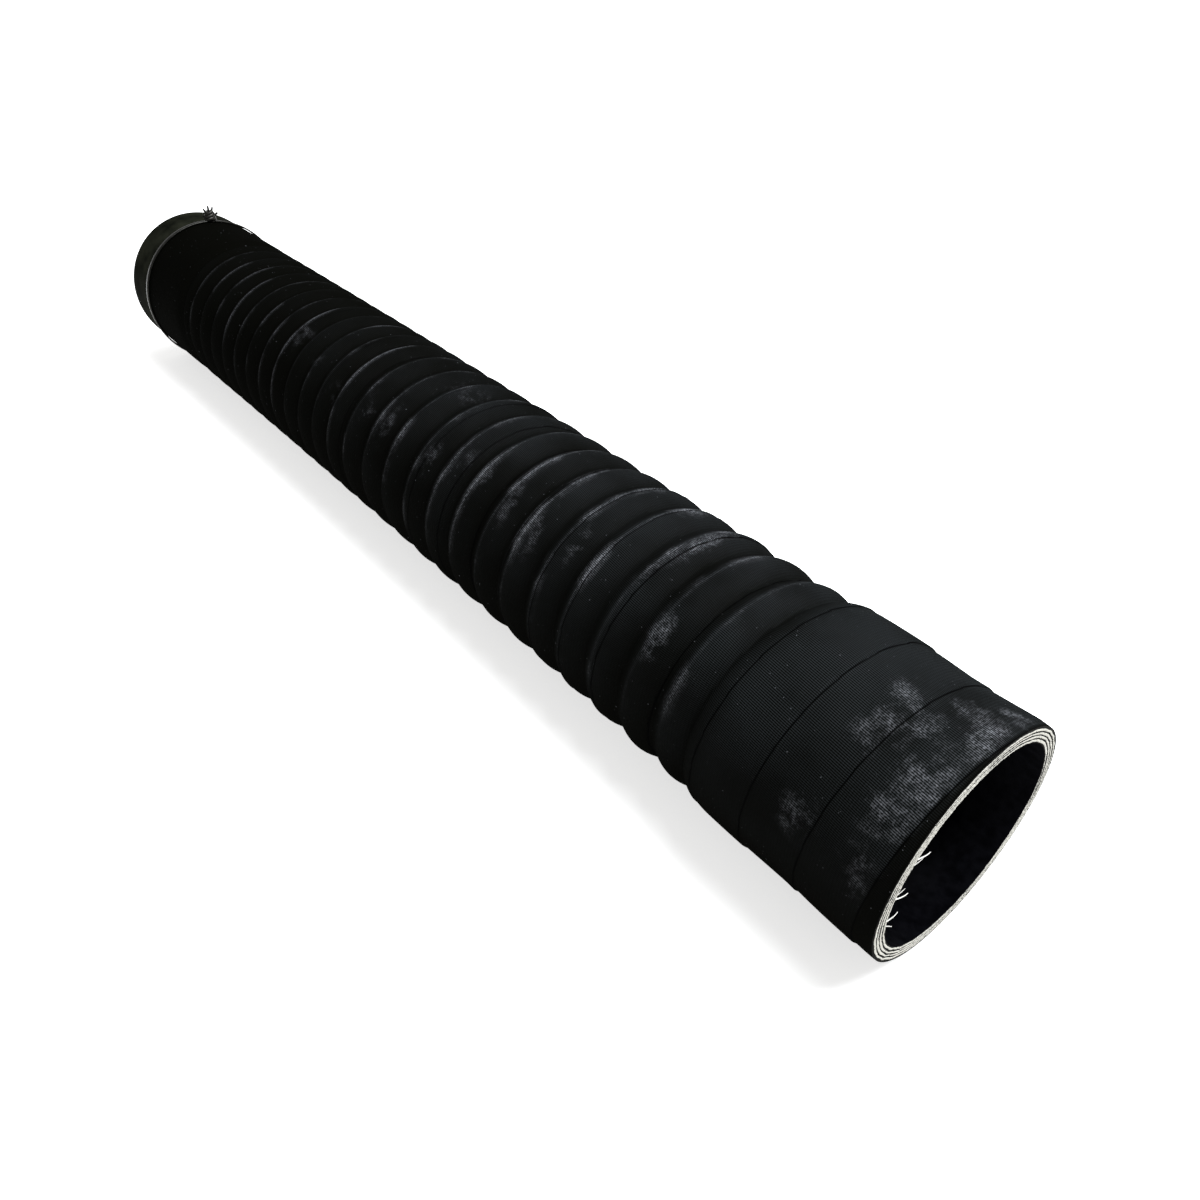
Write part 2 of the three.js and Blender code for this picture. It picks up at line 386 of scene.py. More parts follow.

# %% [markdown]
# Talc keeps fresh rubber from sticking. It stays where the hose was handled: in patches on the near
# cuff and on some ribs, and along the edges of the ribs, where it also stands for a painted highlight.
# A thin film, mixed with painted light and shade, is lighter on all that faces up. Three values on each
# point say how much lies there. They could be painted by hand, but a list of patches and two formulas
# give the same result each time.

# %% Patches of talc
TALC_PATCHES = [
    # along and angle of the middle, half length, half width, strength
    (6, 178, 6, 10, 1.0),
    (5, 199, 5, 6, 0.85),
    (9, 150, 8, 11, 0.95),
    (11, 132, 8, 7, 0.9),
    (30, 174, 5, 7, 0.75),
    (29, 156, 6, 8, 0.8),
    (22, 166, 7, 8, 0.75),
    (14, 186, 7, 8, 0.6),
    (11, 108, 6, 8, 0.6),
    (34, 110, 6, 7, 0.7),
    (107, 134, 4, 11, 0.85),
    (122, 184, 4, 14, 0.8),
    (126, 152, 3, 9, 0.6),
    (142, 200, 4, 8, 0.7),
    (159, 142, 3, 9, 0.6),
    (161, 196, 3, 8, 0.55),
    (179, 137, 3, 10, 0.6),
    (198, 203, 3, 7, 0.5),
    (199, 140, 3, 9, 0.6),
    (218, 145, 3, 9, 0.6),
    (234, 142, 3, 9, 0.6),
    (236, 208, 3, 7, 0.5),
    (254, 138, 3, 10, 0.6),
    (268, 182, 6, 7, 0.45),
    (283, 178, 6, 7, 0.35),
    (291, 134, 3, 9, 0.6),
    (310, 135, 4, 8, 0.5),
    (341, 128, 4, 7, 0.4),
    (365, 140, 4, 8, 0.5),
    (390, 150, 4, 8, 0.4),
]
PATCH_EDGE = 1.5
ARC_OF_DEGREE = math.radians(1) * CUFF_RADIUS
outer_points = (wall_along > 0) & (np.arange(len(wall_along)) < rings * LINES)
under_tape = tape_turns(wall_along, wall_angle) > 0
patch_talc = np.zeros(len(wall_along))
for middle, angle, half_length, half_width, strength in TALC_PATCHES:
    across = (wall_along - middle) / half_length
    around = (np.degrees(wall_angle) - angle) * ARC_OF_DEGREE / half_width
    reach = np.clip(PATCH_EDGE - np.hypot(across, around), 0, 1)
    patch_talc = np.maximum(patch_talc, strength * reach)
patch_talc = patch_talc * under_tape * outer_points
print(len(TALC_PATCHES), "patches of talc on", int((patch_talc > 0.2).sum()), "points")

# %% Talc and painted highlight on the edges of the ribs
CREST_ANGLE = math.radians(172)
CREST_SPREAD = 1.4
CREST_FULL_TO = 180.0
CREST_FADE_OVER = 450.0
CREST_LEAST = 0.35
FIRST_RIB_FROM = 80.0
FIRST_RIB_OVER = 60.0
FIRST_RIB_LEAST = 0.4
on_ribs = (wall_along > first_groove(wall_angle)) & (wall_along < LAST_GROOVE)
upper_side = np.clip(np.cos(wall_angle - CREST_ANGLE) * CREST_SPREAD, 0, 1)
towards_far = np.clip(1 - (wall_along - CREST_FULL_TO) / CREST_FADE_OVER, CREST_LEAST, 1)
off_first_rib = np.clip((wall_along - FIRST_RIB_FROM) / FIRST_RIB_OVER, FIRST_RIB_LEAST, 1)
# Talc on each rib's edge, together with a painted highlight: a thin bright line on the upper side.
crest_talc_and_highlight = on_ribs * upper_side * towards_far * off_first_rib * outer_points
print("rib edges with talc on", int((crest_talc_and_highlight > 0.2).sum()), "points")

# %% [markdown]
# The film is part dust and part painted light and shade. It is lighter where the hose faces up, as dust
# that settled there and as painted light from above, and darker towards the far part, as painted shade
# where the lamp's light falls off. The cuffs get painted shade where the near cuff drops into the first
# groove. Each rib gets a painted shade in its grooves and a painted highlight just past its crest. The
# strip at the rim that no tape covered has almost none.

# %% Film of dust and painted light and shade
TOP_ANGLE = math.radians(180)
FILM_PAST_SIDE = 0.35
FALLOFF_FROM = 42.0
FALLOFF_OVER = 420.0
FALLOFF_LEAST = 0.1
SHADED_FILM_AT_GROOVE = 0.25
FILM_OFF_TAPE = 0.15
RIB_SHARES = (0.0, 0.15, 0.5, 0.68, 0.78, 1.0)
RIB_LIGHT_AND_SHADE = (0.3, 0.6, 1.0, 1.35, 0.4, 0.3)
# Painted light: the film is lighter on the side that faces up, as dust and as light from above.
dust_and_light_on_top = np.clip(np.cos(wall_angle - TOP_ANGLE) + FILM_PAST_SIDE, 0, 1 + FILM_PAST_SIDE)
dust_and_light_on_top = dust_and_light_on_top / (1 + FILM_PAST_SIDE)
# Painted light and shade across each rib: darkest in the grooves, brightest just past the crest.
rib_light_and_shade = np.interp(rib_phase(wall_along, wall_angle) % 1.0, RIB_SHARES, RIB_LIGHT_AND_SHADE)
# Painted shade: the film darkens towards the far end, where the lamp's light falls off.
painted_falloff_to_far = np.clip(1 - (wall_along - FALLOFF_FROM) / FALLOFF_OVER, FALLOFF_LEAST, 1)
# Painted shade where the near cuff drops into the first groove; the far cuff keeps the same low share.
before_groove = np.clip((first_groove(wall_angle) - wall_along) / SHOULDER_DROP, 0, 1)
shade_by_groove = SHADED_FILM_AT_GROOVE + (1 - SHADED_FILM_AT_GROOVE) * before_groove
dust_and_painted_shading = dust_and_light_on_top * painted_falloff_to_far * np.where(on_ribs, rib_light_and_shade, shade_by_groove)
dust_and_painted_shading = dust_and_painted_shading * np.where(under_tape, 1, FILM_OFF_TAPE) * outer_points
for name, values in (("patch_talc", patch_talc), ("crest_talc_and_highlight", crest_talc_and_highlight), ("dust_and_painted_shading", dust_and_painted_shading)):
    attribute = wall_mesh.attributes.new(name, "FLOAT", "POINT")
    attribute.data.foreach_set("value", values.astype(np.float32))
print("film of dust up to", round(float(dust_and_painted_shading.max()), 2))

# %% [markdown]
# Colours are given as on a paint chart, in sRGB, and turned to the linear values that light adds up
# in. One small function adds a node, with its settings and what goes into each socket. A noise's
# scale counts its clumps per metre, so it is worked out from the real size of a clump.


# %% Helpers for materials
def linear(colour):
    """Linear RGBA of an sRGB hex colour."""
    parts = [int(colour[start:start + 2], 16) / 255 for start in (1, 3, 5)]
    parts = [part / 12.92 if part <= 0.04045 else ((part + 0.055) / 1.055) ** 2.4 for part in parts]
    return (*parts, 1.0)


def add_node(tree, kind, inputs, **settings):
    """A new node, with settings, whose sockets take a value or another node's output."""
    node = tree.nodes.new(kind)
    for name, value in settings.items():
        setattr(node, name, value)
    for socket, source in inputs.items():
        if isinstance(source, bpy.types.NodeSocket):
            tree.links.new(source, node.inputs[socket])
        else:
            node.inputs[socket].default_value = source
    return node


def per_metre(size):
    """How many patterns of a size in millimetres fit in a metre."""
    return MM / size


def new_material(name):
    """An empty material: its node tree, its shader and the material."""
    material = bpy.data.materials.new(name)
    material.use_nodes = True
    tree = material.node_tree
    tree.nodes.clear()
    shader = add_node(tree, "ShaderNodeBsdfPrincipled", {})
    add_node(tree, "ShaderNodeOutputMaterial", {"Surface": shader.outputs[0]})
    return material, tree, shader


# %% [markdown]
# The outside is black rubber, natural and synthetic with carbon black, cured in a steam oven under
# a cloth tape. The tape's threads left ribs about 0.7 mm apart that run nearly along the hose and
# lean with the tape, crossed by shallower wefts. The eye sees a matt surface drawn in fine grey lines.
# A woven pattern from an image would repeat, so two sine waves on the surface places make it.

# %% Cloth pressed into the rubber
RIB_OF_CLOTH = 0.7
WEFT_OF_CLOTH = 1.1
WEFT_DEPTH = 0.25


def cloth_relief(tree):
    """The height of the pressed-in cloth, from 0 to 1: ribs along the hose, crossed by wefts."""
    surface = add_node(tree, "ShaderNodeUVMap", {}, uv_map="along_and_round")
    split = add_node(tree, "ShaderNodeSeparateXYZ", {0: surface.outputs[0]})
    lean = TAPE_PITCH / (math.tau * CUFF_RADIUS)
    across = add_node(tree, "ShaderNodeMath", {0: split.outputs["X"], 1: -lean, 2: split.outputs["Y"]},
                      operation="MULTIPLY_ADD")
    rib = add_node(tree, "ShaderNodeMath",
                   {0: across.outputs[0], 1: math.tau * per_metre(RIB_OF_CLOTH)}, operation="MULTIPLY")
    rib = add_node(tree, "ShaderNodeMath", {0: rib.outputs[0]}, operation="SINE")
    weft = add_node(tree, "ShaderNodeMath",
                    {0: split.outputs["X"], 1: math.tau * per_metre(WEFT_OF_CLOTH)},
                    operation="MULTIPLY")
    weft = add_node(tree, "ShaderNodeMath", {0: weft.outputs[0]}, operation="SINE")
    both = add_node(tree, "ShaderNodeMath", {0: weft.outputs[0], 1: WEFT_DEPTH, 2: rib.outputs[0]},
                    operation="MULTIPLY_ADD")
    height = add_node(tree, "ShaderNodeMapRange",
                      {0: both.outputs[0], 1: -1 - WEFT_DEPTH, 2: 1 + WEFT_DEPTH})
    return height.outputs[0]


print("cloth ribs round the hose", round(math.tau * CUFF_RADIUS / RIB_OF_CLOTH))

# %% [markdown]
# Each rib has an edge where hands and floors touch it first. Talc marks it with a thin grey line, which
# is also a painted highlight of the rib's edge.
# The tape's own edge left a thin dark line at each turn, cut into steps by the threads. Both follow
# the counts of turns kept on the surface, so they stay true to the shape all the way round.

# %% Lines that wind round the hose
RIB_EDGE = 0.66
SEAM_JAGS = 0.012
SEAM_FADES_FROM = 0.2
SEAM_FADES_TO = 0.42


def rib_edges(tree):
    """Two masks: the thin edge of each rib, with talc and a painted highlight, and its crest."""
    turns = add_node(tree, "ShaderNodeUVMap", {}, uv_map="rib_and_tape_turns")
    split = add_node(tree, "ShaderNodeSeparateXYZ", {0: turns.outputs[0]})
    rib = add_node(tree, "ShaderNodeMath", {0: split.outputs["X"]}, operation="FRACT")
    off_edge = add_node(tree, "ShaderNodeMath", {0: rib.outputs[0], 1: RIB_EDGE}, operation="SUBTRACT")
    off_edge = add_node(tree, "ShaderNodeMath", {0: off_edge.outputs[0]}, operation="ABSOLUTE")
    edge = add_node(tree, "ShaderNodeMapRange",
                    {0: off_edge.outputs[0], 1: 0.012, 2: 0.06, 3: 1.0, 4: 0.0})
    crest = add_node(tree, "ShaderNodeMapRange",
                     {0: off_edge.outputs[0], 1: 0.03, 2: 0.2, 3: 1.0, 4: 0.0})
    return edge.outputs[0], crest.outputs[0]


def tape_seam(tree, relief):
    """A mask of the dark line that the tape's edge left, which fades along the hose."""
    turns = add_node(tree, "ShaderNodeUVMap", {}, uv_map="rib_and_tape_turns")
    split = add_node(tree, "ShaderNodeSeparateXYZ", {0: turns.outputs[0]})
    jagged = add_node(tree, "ShaderNodeMath", {0: relief, 1: SEAM_JAGS, 2: split.outputs["Y"]},
                      operation="MULTIPLY_ADD")
    lap = add_node(tree, "ShaderNodeMath", {0: jagged.outputs[0]}, operation="FRACT")
    off_middle = add_node(tree, "ShaderNodeMath", {0: lap.outputs[0], 1: 0.5}, operation="SUBTRACT")
    off_middle = add_node(tree, "ShaderNodeMath", {0: off_middle.outputs[0]}, operation="ABSOLUTE")
    seam = add_node(tree, "ShaderNodeMapRange", {0: off_middle.outputs[0], 1: 0.485, 2: 0.496})
    metres = add_node(tree, "ShaderNodeUVMap", {}, uv_map="along_and_round")
    along = add_node(tree, "ShaderNodeSeparateXYZ", {0: metres.outputs[0]}).outputs["X"]
    fading = add_node(tree, "ShaderNodeMapRange",
                      {0: along, 1: SEAM_FADES_FROM, 2: SEAM_FADES_TO, 3: 1.0, 4: 0.2})
    seam = add_node(tree, "ShaderNodeMath", {0: seam.outputs[0], 1: fading.outputs[0]},
                    operation="MULTIPLY")
    return seam.outputs[0]


# %% [markdown]
# Talc is a very fine white powder. On rubber it clings to the tops of the pressed threads, so a patch
# is a cloud of pale grey specks with a ragged edge. Noise in space gives the clouds, the streaks
# along the rib edges, which also carry a painted highlight, and the specks. The values on the
# points say where any of it may lie. A grain of talc is about 0.02 mm, far too fine to show, so the
# specks are drawn as clumps of 0.8 mm.

# %% Talc and painted highlight
CLOUD_OF_TALC = 6.667
STREAK_OF_TALC = 22.22
SPECK_OF_TALC = 0.7692
FALLEN_SPECK = 0.9091


def talc_in_patches(tree, solid):
    """How much talc lies in the patches, with ragged edges."""
    cloud = add_node(tree, "ShaderNodeTexNoise",
                     {"Vector": solid, "Scale": per_metre(CLOUD_OF_TALC), "Detail": 8.0,
                      "Roughness": 0.7})
    patches = add_node(tree, "ShaderNodeAttribute", {}, attribute_name="patch_talc")
    reach = add_node(tree, "ShaderNodeMath",
                     {0: patches.outputs["Fac"], 1: 0.2, 2: cloud.outputs[0]}, operation="MULTIPLY_ADD")
    broken = add_node(tree, "ShaderNodeMapRange", {0: reach.outputs[0], 1: 0.56, 2: 0.8})
    return add_node(tree, "ShaderNodeMath", {0: patches.outputs["Fac"], 1: broken.outputs[0]},
                    operation="MULTIPLY").outputs[0]


def talc_and_highlight_on_rib_edges(tree, solid):
    """How much talc and painted highlight lie on the edges of the ribs, in streaks, with smears over the
    crests.
    """
    edge, crest = rib_edges(tree)
    streak = add_node(tree, "ShaderNodeTexNoise",
                      {"Vector": solid, "Scale": per_metre(STREAK_OF_TALC), "Detail": 5.0})
    streaks = add_node(tree, "ShaderNodeMapRange", {0: streak.outputs[0], 1: 0.44, 2: 0.66, 3: 0.12})
    rubbed = add_node(tree, "ShaderNodeMapRange", {0: streak.outputs[0], 1: 0.5, 2: 0.66, 4: 0.9})
    smear = add_node(tree, "ShaderNodeMath", {0: crest, 1: rubbed.outputs[0]}, operation="MULTIPLY")
    line = add_node(tree, "ShaderNodeMath", {0: edge, 1: streaks.outputs[0], 2: smear.outputs[0]},
                    operation="MULTIPLY_ADD")
    crests = add_node(tree, "ShaderNodeAttribute", {}, attribute_name="crest_talc_and_highlight")
    return add_node(tree, "ShaderNodeMath", {0: line.outputs[0], 1: crests.outputs["Fac"]},
                    operation="MULTIPLY").outputs[0]


def talc_and_highlight_cover(tree, relief):
    """How much talc, with the painted highlight on the rib edges, covers each place, from 0 to 1."""
    solid = add_node(tree, "ShaderNodeTexCoord", {}).outputs["Object"]
    in_patches = talc_in_patches(tree, solid)
    on_edges = talc_and_highlight_on_rib_edges(tree, solid)
    speck = add_node(tree, "ShaderNodeTexNoise",
                     {"Vector": solid, "Scale": per_metre(SPECK_OF_TALC), "Detail": 3.0})
    grains = add_node(tree, "ShaderNodeMath", {0: relief, 1: 0.35, 2: speck.outputs[0]},
                      operation="MULTIPLY_ADD")
    grains = add_node(tree, "ShaderNodeMapRange", {0: grains.outputs[0], 1: 0.6, 2: 0.88, 3: 0.04})
    lying = add_node(tree, "ShaderNodeMath", {0: on_edges, 1: 0.9, 2: in_patches},
                     operation="MULTIPLY_ADD")
    talc = add_node(tree, "ShaderNodeMath", {0: lying.outputs[0], 1: grains.outputs[0]},
                    operation="MULTIPLY")
    fallen = add_node(tree, "ShaderNodeTexNoise",
                      {"Vector": solid, "Scale": per_metre(FALLEN_SPECK), "Detail": 1.0})
    fallen = add_node(tree, "ShaderNodeMapRange", {0: fallen.outputs[0], 1: 0.77, 2: 0.84, 4: 0.7})
    return add_node(tree, "ShaderNodeMath", {0: talc.outputs[0], 1: fallen.outputs[0]},
                    operation="MAXIMUM", use_clamp=True).outputs[0]


# %% [markdown]
# The rubber itself is nearly black. The film of dust, with its painted light and shade, sits on the
# threads and lightens them. So the colour goes from black to a cold dark grey with the film, then to
# pale grey under the talc and the painted highlight on the rib edges, and the seam stays black.
# Rubber's IOR is about 1.52 and a matt one has a roughness of about 0.8. Its faint gloss is a coat
# with little weight, because the plain gloss of a rough shader turned the whole hose grey at flat
# angles.

# %% Cloth-cured rubber
RUBBER_IOR = 1.52
RUBBER_ROUGHNESS = 0.8
THREAD_DEPTH = 0.12
WEAR_OF_FILM = 35.71


def film_of_dust_and_shading(tree, relief):
    """How much of the dust film and its painted light and shade shows: most on the threads, and worn off
    in places.
    """
    solid = add_node(tree, "ShaderNodeTexCoord", {}).outputs["Object"]
    wear = add_node(tree, "ShaderNodeTexNoise",
                    {"Vector": solid, "Scale": per_metre(WEAR_OF_FILM), "Detail": 5.0})
    worn = add_node(tree, "ShaderNodeMapRange", {0: wear.outputs[0], 1: 0.35, 2: 0.65, 3: 0.35})
    film = add_node(tree, "ShaderNodeAttribute", {}, attribute_name="dust_and_painted_shading")
    dust = add_node(tree, "ShaderNodeMath", {0: film.outputs["Fac"], 1: worn.outputs[0]},
                    operation="MULTIPLY")
    on_threads = add_node(tree, "ShaderNodeMapRange", {0: relief, 1: 0.35, 2: 0.8, 3: 0.0, 4: 1.7})
    return add_node(tree, "ShaderNodeMath", {0: dust.outputs[0], 1: on_threads.outputs[0]},
                    operation="MULTIPLY").outputs[0]


def cloth_cured_rubber():
    material, tree, shader = new_material("cloth_cured_rubber")
    relief = cloth_relief(tree)
    seam = tape_seam(tree, relief)
    # Black rubber to a cold dark grey by the film: dust, painted light on top and across the ribs,
    # painted shade in the grooves and towards the far end.
    rubber = add_node(tree, "ShaderNodeMix",
                      {"Factor": film_of_dust_and_shading(tree, relief), 6: linear("#030302"),
                       7: linear("#1a1c1d")}, data_type="RGBA")
    # Pale grey for talc, and for the painted highlight along the rib edges.
    dusted_and_highlit = add_node(tree, "ShaderNodeMix",
                      {"Factor": talc_and_highlight_cover(tree, relief), 6: rubber.outputs[2],
                       7: linear("#545558")}, data_type="RGBA")
    colour = add_node(tree, "ShaderNodeMix",
                      {"Factor": seam, 6: dusted_and_highlit.outputs[2], 7: linear("#010101")},
                      data_type="RGBA")
    height = add_node(tree, "ShaderNodeMath", {0: seam, 1: -1.0, 2: relief},
                      operation="MULTIPLY_ADD")
    bump = add_node(tree, "ShaderNodeBump",
                    {"Height": height.outputs[0], "Strength": 0.8, "Distance": THREAD_DEPTH / MM})
    tree.links.new(colour.outputs[2], shader.inputs["Base Color"])
    tree.links.new(bump.outputs[0], shader.inputs["Normal"])
    tree.links.new(bump.outputs[0], shader.inputs["Coat Normal"])
    shader.inputs["Roughness"].default_value = RUBBER_ROUGHNESS
    shader.inputs["IOR"].default_value = RUBBER_IOR
    shader.inputs["Specular IOR Level"].default_value = 0.0
    shader.inputs["Coat Weight"].default_value = 0.011
    shader.inputs["Coat Roughness"].default_value = 0.42
    return material


# %% [markdown]
# The bore was formed against the polished mandrel, so it is smooth and dull black, and little light
# gets in. The cut ends were sliced with a knife and show a fine grain. Past the tie the cover is
# bare: no tape was wound there, so it kept a soft gloss and shows cloudy, slightly green patches.
# All three are the same rubber, so one function makes them with their own colours, gloss and grain.

# %% Plain rubber: bore, cut ends and bare edge
GRAIN_DEPTH = 0.4
GRAIN_OF_BORE = 3.333
GRAIN_OF_CUT = 1.111
CLOUDS_OF_EDGE = 13.333


def plain_rubber(name, dark, light, grain, gloss, gloss_roughness):
    material, tree, shader = new_material(name)
    solid = add_node(tree, "ShaderNodeTexCoord", {}).outputs["Object"]
    clouds = add_node(tree, "ShaderNodeTexNoise",
                      {"Vector": solid, "Scale": per_metre(grain), "Detail": 5.0})
    spread = add_node(tree, "ShaderNodeMapRange", {0: clouds.outputs[0], 1: 0.35, 2: 0.65})
    colour = add_node(tree, "ShaderNodeMix",
                      {"Factor": spread.outputs[0], 6: linear(dark), 7: linear(light)},
                      data_type="RGBA")
    bump = add_node(tree, "ShaderNodeBump",
                    {"Height": clouds.outputs[0], "Strength": 0.4, "Distance": GRAIN_DEPTH / MM})
    tree.links.new(colour.outputs[2], shader.inputs["Base Color"])
    tree.links.new(bump.outputs[0], shader.inputs["Normal"])
    tree.links.new(bump.outputs[0], shader.inputs["Coat Normal"])
    shader.inputs["Roughness"].default_value = RUBBER_ROUGHNESS
    shader.inputs["IOR"].default_value = RUBBER_IOR
    shader.inputs["Specular IOR Level"].default_value = 0.0
    shader.inputs["Coat Weight"].default_value = gloss
    shader.inputs["Coat Roughness"].default_value = gloss_roughness
    return material


wall_mesh.materials.append(cloth_cured_rubber())
for finish in (
    # name, dark and light colour, size of the grain, gloss and its roughness
    ("mandrel_smooth_rubber", "#020203", "#060608", GRAIN_OF_BORE, 0.01, 0.5),
    ("cut_rubber", "#080808", "#1c1c1a", GRAIN_OF_CUT, 0.05, 0.6),
    ("bare_rubber_edge", "#050604", "#171812", CLOUDS_OF_EDGE, 0.018, 0.3),
):
    wall_mesh.materials.append(plain_rubber(*finish))
print("finishes of the wall", [material.name for material in wall_mesh.materials])

# %% [markdown]
# At the cut end the plies of woven fabric show as pale rings with thin lines of rubber between them.
# The knife leaves the fibres standing up unevenly. A flat ring with a picture of plies would look
# printed, so they are a ring of their own here, let into the end of the wall, with grooves where the
# rubber lies and a ragged face of fibres.

# %% Cut plies
PLY_INNER = BORE_RADIUS + 0.25
PLY_OUTER = CUFF_RADIUS - 0.75
PLY_BACK = 2.0
PLIES = 4
PLY_LINES = 720
PLY_RINGS = 20
PLY_PROUD = 0.15
RUBBER_LINE_DEPTH = 0.7
RUBBER_LINE_WIDTH = 0.2
PLY_MARGIN = 0.05
FIBRE_DEPTH = 0.35
EDGE_DROP = 0.3
WAVES_ADDED = 6
SEED = 11
random = np.random.default_rng(SEED)


def wander(angle, waves, size):
    """A smooth closed random line round the hose, of about so many waves."""
    total = np.zeros_like(angle)
    for _ in range(WAVES_ADDED):
        count = int(random.integers(max(1, waves // 2), waves * 2))
        total += np.sin(angle * count + random.uniform(0, math.tau))
    return total * size / (WAVES_ADDED / 2)


def ply_face(angle, share):
    """How far in from the cut the fibres lie on one ring, whose share counts from 0 to 1 outwards."""
    ply = share * PLIES + wander(angle, 5, 0.06)
    off_line = np.abs(ply - np.rint(ply)) / RUBBER_LINE_WIDTH
    rubber_line = np.clip(1 - off_line, 0, 1) * (PLY_MARGIN < share < 1 - PLY_MARGIN)
    ragged = random.uniform(0, 1, PLY_LINES) * FIBRE_DEPTH / 2
    edge = EDGE_DROP if share in (0, 1) else 0.0
    return -PLY_PROUD + RUBBER_LINE_DEPTH * rubber_line + ragged + edge


def build_plies():
    angle = np.arange(PLY_LINES) * math.tau / PLY_LINES
    inner = PLY_INNER + wander(angle, 40, 0.12)
    outer = PLY_OUTER + wander(angle, 25, 0.10)
    back = np.full(PLY_LINES, PLY_BACK)
    sections = [(back, inner)]
    for step in range(PLY_RINGS + 1):
        share = step / PLY_RINGS
        sections.append((ply_face(angle, share), inner + (outer - inner) * share))
    sections.append((back, outer))
    along = np.array([section[0] for section in sections])
    radius = np.array([section[1] for section in sections])
    mesh = grid_mesh("cut_plies", along, radius, angle)
    ply = mesh.attributes.new("ply", "FLOAT", "POINT")
    share = (radius - inner) / (outer - inner)
    ply.data.foreach_set("value", (share * PLIES).reshape(-1).astype(np.float32))
    return mesh


ply_mesh = build_plies()
cut_plies = bpy.data.objects.new("cut_plies", ply_mesh)
bpy.context.scene.collection.objects.link(cut_plies)
print("plies", len(ply_mesh.polygons), "faces")

# %% [markdown]
# The fabric is undyed cotton or rayon, greyed by the knife: rough, pale and without any gloss. The
# value on its points counts the plies, so a thin dark line of rubber falls where one ply ends. Noise
# makes that line waver, because the plies are never wound quite evenly. Single fibres are too fine
# to show, so the noise is as coarse as a tuft of them, 0.7 mm.


# %% Cut fabric
WAVER_OF_PLY = 22.22
FIBRE_OF_FABRIC = 0.7143


def cut_fabric():
    material, tree, shader = new_material("cut_fabric")
    ply = add_node(tree, "ShaderNodeAttribute", {}, attribute_name="ply").outputs["Fac"]
    solid = add_node(tree, "ShaderNodeTexCoord", {}).outputs["Object"]
    slow = add_node(tree, "ShaderNodeTexNoise",
                    {"Vector": solid, "Scale": per_metre(WAVER_OF_PLY), "Detail": 3.0})
    fine = add_node(tree, "ShaderNodeTexNoise",
                    {"Vector": solid, "Scale": per_metre(FIBRE_OF_FABRIC), "Detail": 3.0})
    waver = add_node(tree, "ShaderNodeMath", {0: slow.outputs[0], 1: 0.9, 2: ply},
                     operation="MULTIPLY_ADD")
    fraction = add_node(tree, "ShaderNodeMath", {0: waver.outputs[0]}, operation="FRACT")
    centred = add_node(tree, "ShaderNodeMath", {0: fraction.outputs[0], 1: 0.5},
                       operation="SUBTRACT")
    distance = add_node(tree, "ShaderNodeMath", {0: centred.outputs[0]}, operation="ABSOLUTE")
    rough_line = add_node(tree, "ShaderNodeMath", {0: fine.outputs[0], 1: 0.25, 2: distance.outputs[0]},
                          operation="MULTIPLY_ADD")
    rubber_line = add_node(tree, "ShaderNodeMapRange",
                           {0: rough_line.outputs[0], 1: 0.24, 2: 0.32, 3: 1.0, 4: 0.0})
    fibre = add_node(tree, "ShaderNodeMix",
                     {"Factor": fine.outputs[0], 6: linear("#7d7a70"), 7: linear("#d2d0c8")},
                     data_type="RGBA")
    colour = add_node(tree, "ShaderNodeMix",
                      {"Factor": rubber_line.outputs[0], 6: fibre.outputs[2], 7: linear("#0c0b0a")},
                      data_type="RGBA")
    tree.links.new(colour.outputs[2], shader.inputs["Base Color"])
    shader.inputs["Roughness"].default_value = 0.95
    shader.inputs["Specular IOR Level"].default_value = 0.2
    return material


ply_mesh.materials.append(cut_fabric())
print("finish of the plies", ply_mesh.materials[0].name)

# %% [markdown]
# Some threads of the inner ply have frayed at the cut and stick out over the bore, in three small
# groups. A thread is a round tube along a curve, thinner at its tip. A curve is easy to bend by a
# few points, and turning it into a mesh lets all threads be joined to one piece.


# %% Frayed threads
THREAD_TIP = 0.5
CURVE_STEPS = 6
TUBE_SIDES = 3


def strand(name, points, radius, tip):
    """A round tube through points in metres, whose end has a share of its radius."""
    curve = bpy.data.curves.new(name, "CURVE")
    curve.dimensions = "3D"
    curve.bevel_depth = radius
    curve.bevel_resolution = TUBE_SIDES
    curve.use_fill_caps = True
    curve.resolution_u = CURVE_STEPS
    spline = curve.splines.new("BEZIER")
    spline.bezier_points.add(len(points) - 1)
    for index, (knot, point) in enumerate(zip(spline.bezier_points, points)):
        knot.co = point
        knot.handle_left_type = "AUTO"
        knot.handle_right_type = "AUTO"
        knot.radius = 1 - (1 - tip) * index / (len(points) - 1)
    holder = bpy.data.objects.new(name + "_curve", curve)
    bpy.context.scene.collection.objects.link(holder)
    bpy.context.view_layer.update()
    evaluated = holder.evaluated_get(bpy.context.evaluated_depsgraph_get())
    mesh = bpy.data.meshes.new_from_object(evaluated)
    bpy.data.objects.remove(holder)
    return mesh


def join_meshes(name, meshes):
    """One object that holds several meshes."""
    points = []
    faces = []
    for mesh in meshes:
        offset = len(points)
        points.extend(tuple(vertex.co) for vertex in mesh.vertices)
        faces.extend([index + offset for index in polygon.vertices] for polygon in mesh.polygons)
        bpy.data.meshes.remove(mesh)
    whole = bpy.data.meshes.new(name)
    whole.from_pydata(points, [], faces)
    whole.polygons.foreach_set("use_smooth", np.ones(len(faces), bool))
    piece = bpy.data.objects.new(name, whole)
    bpy.context.scene.collection.objects.link(piece)
    return piece


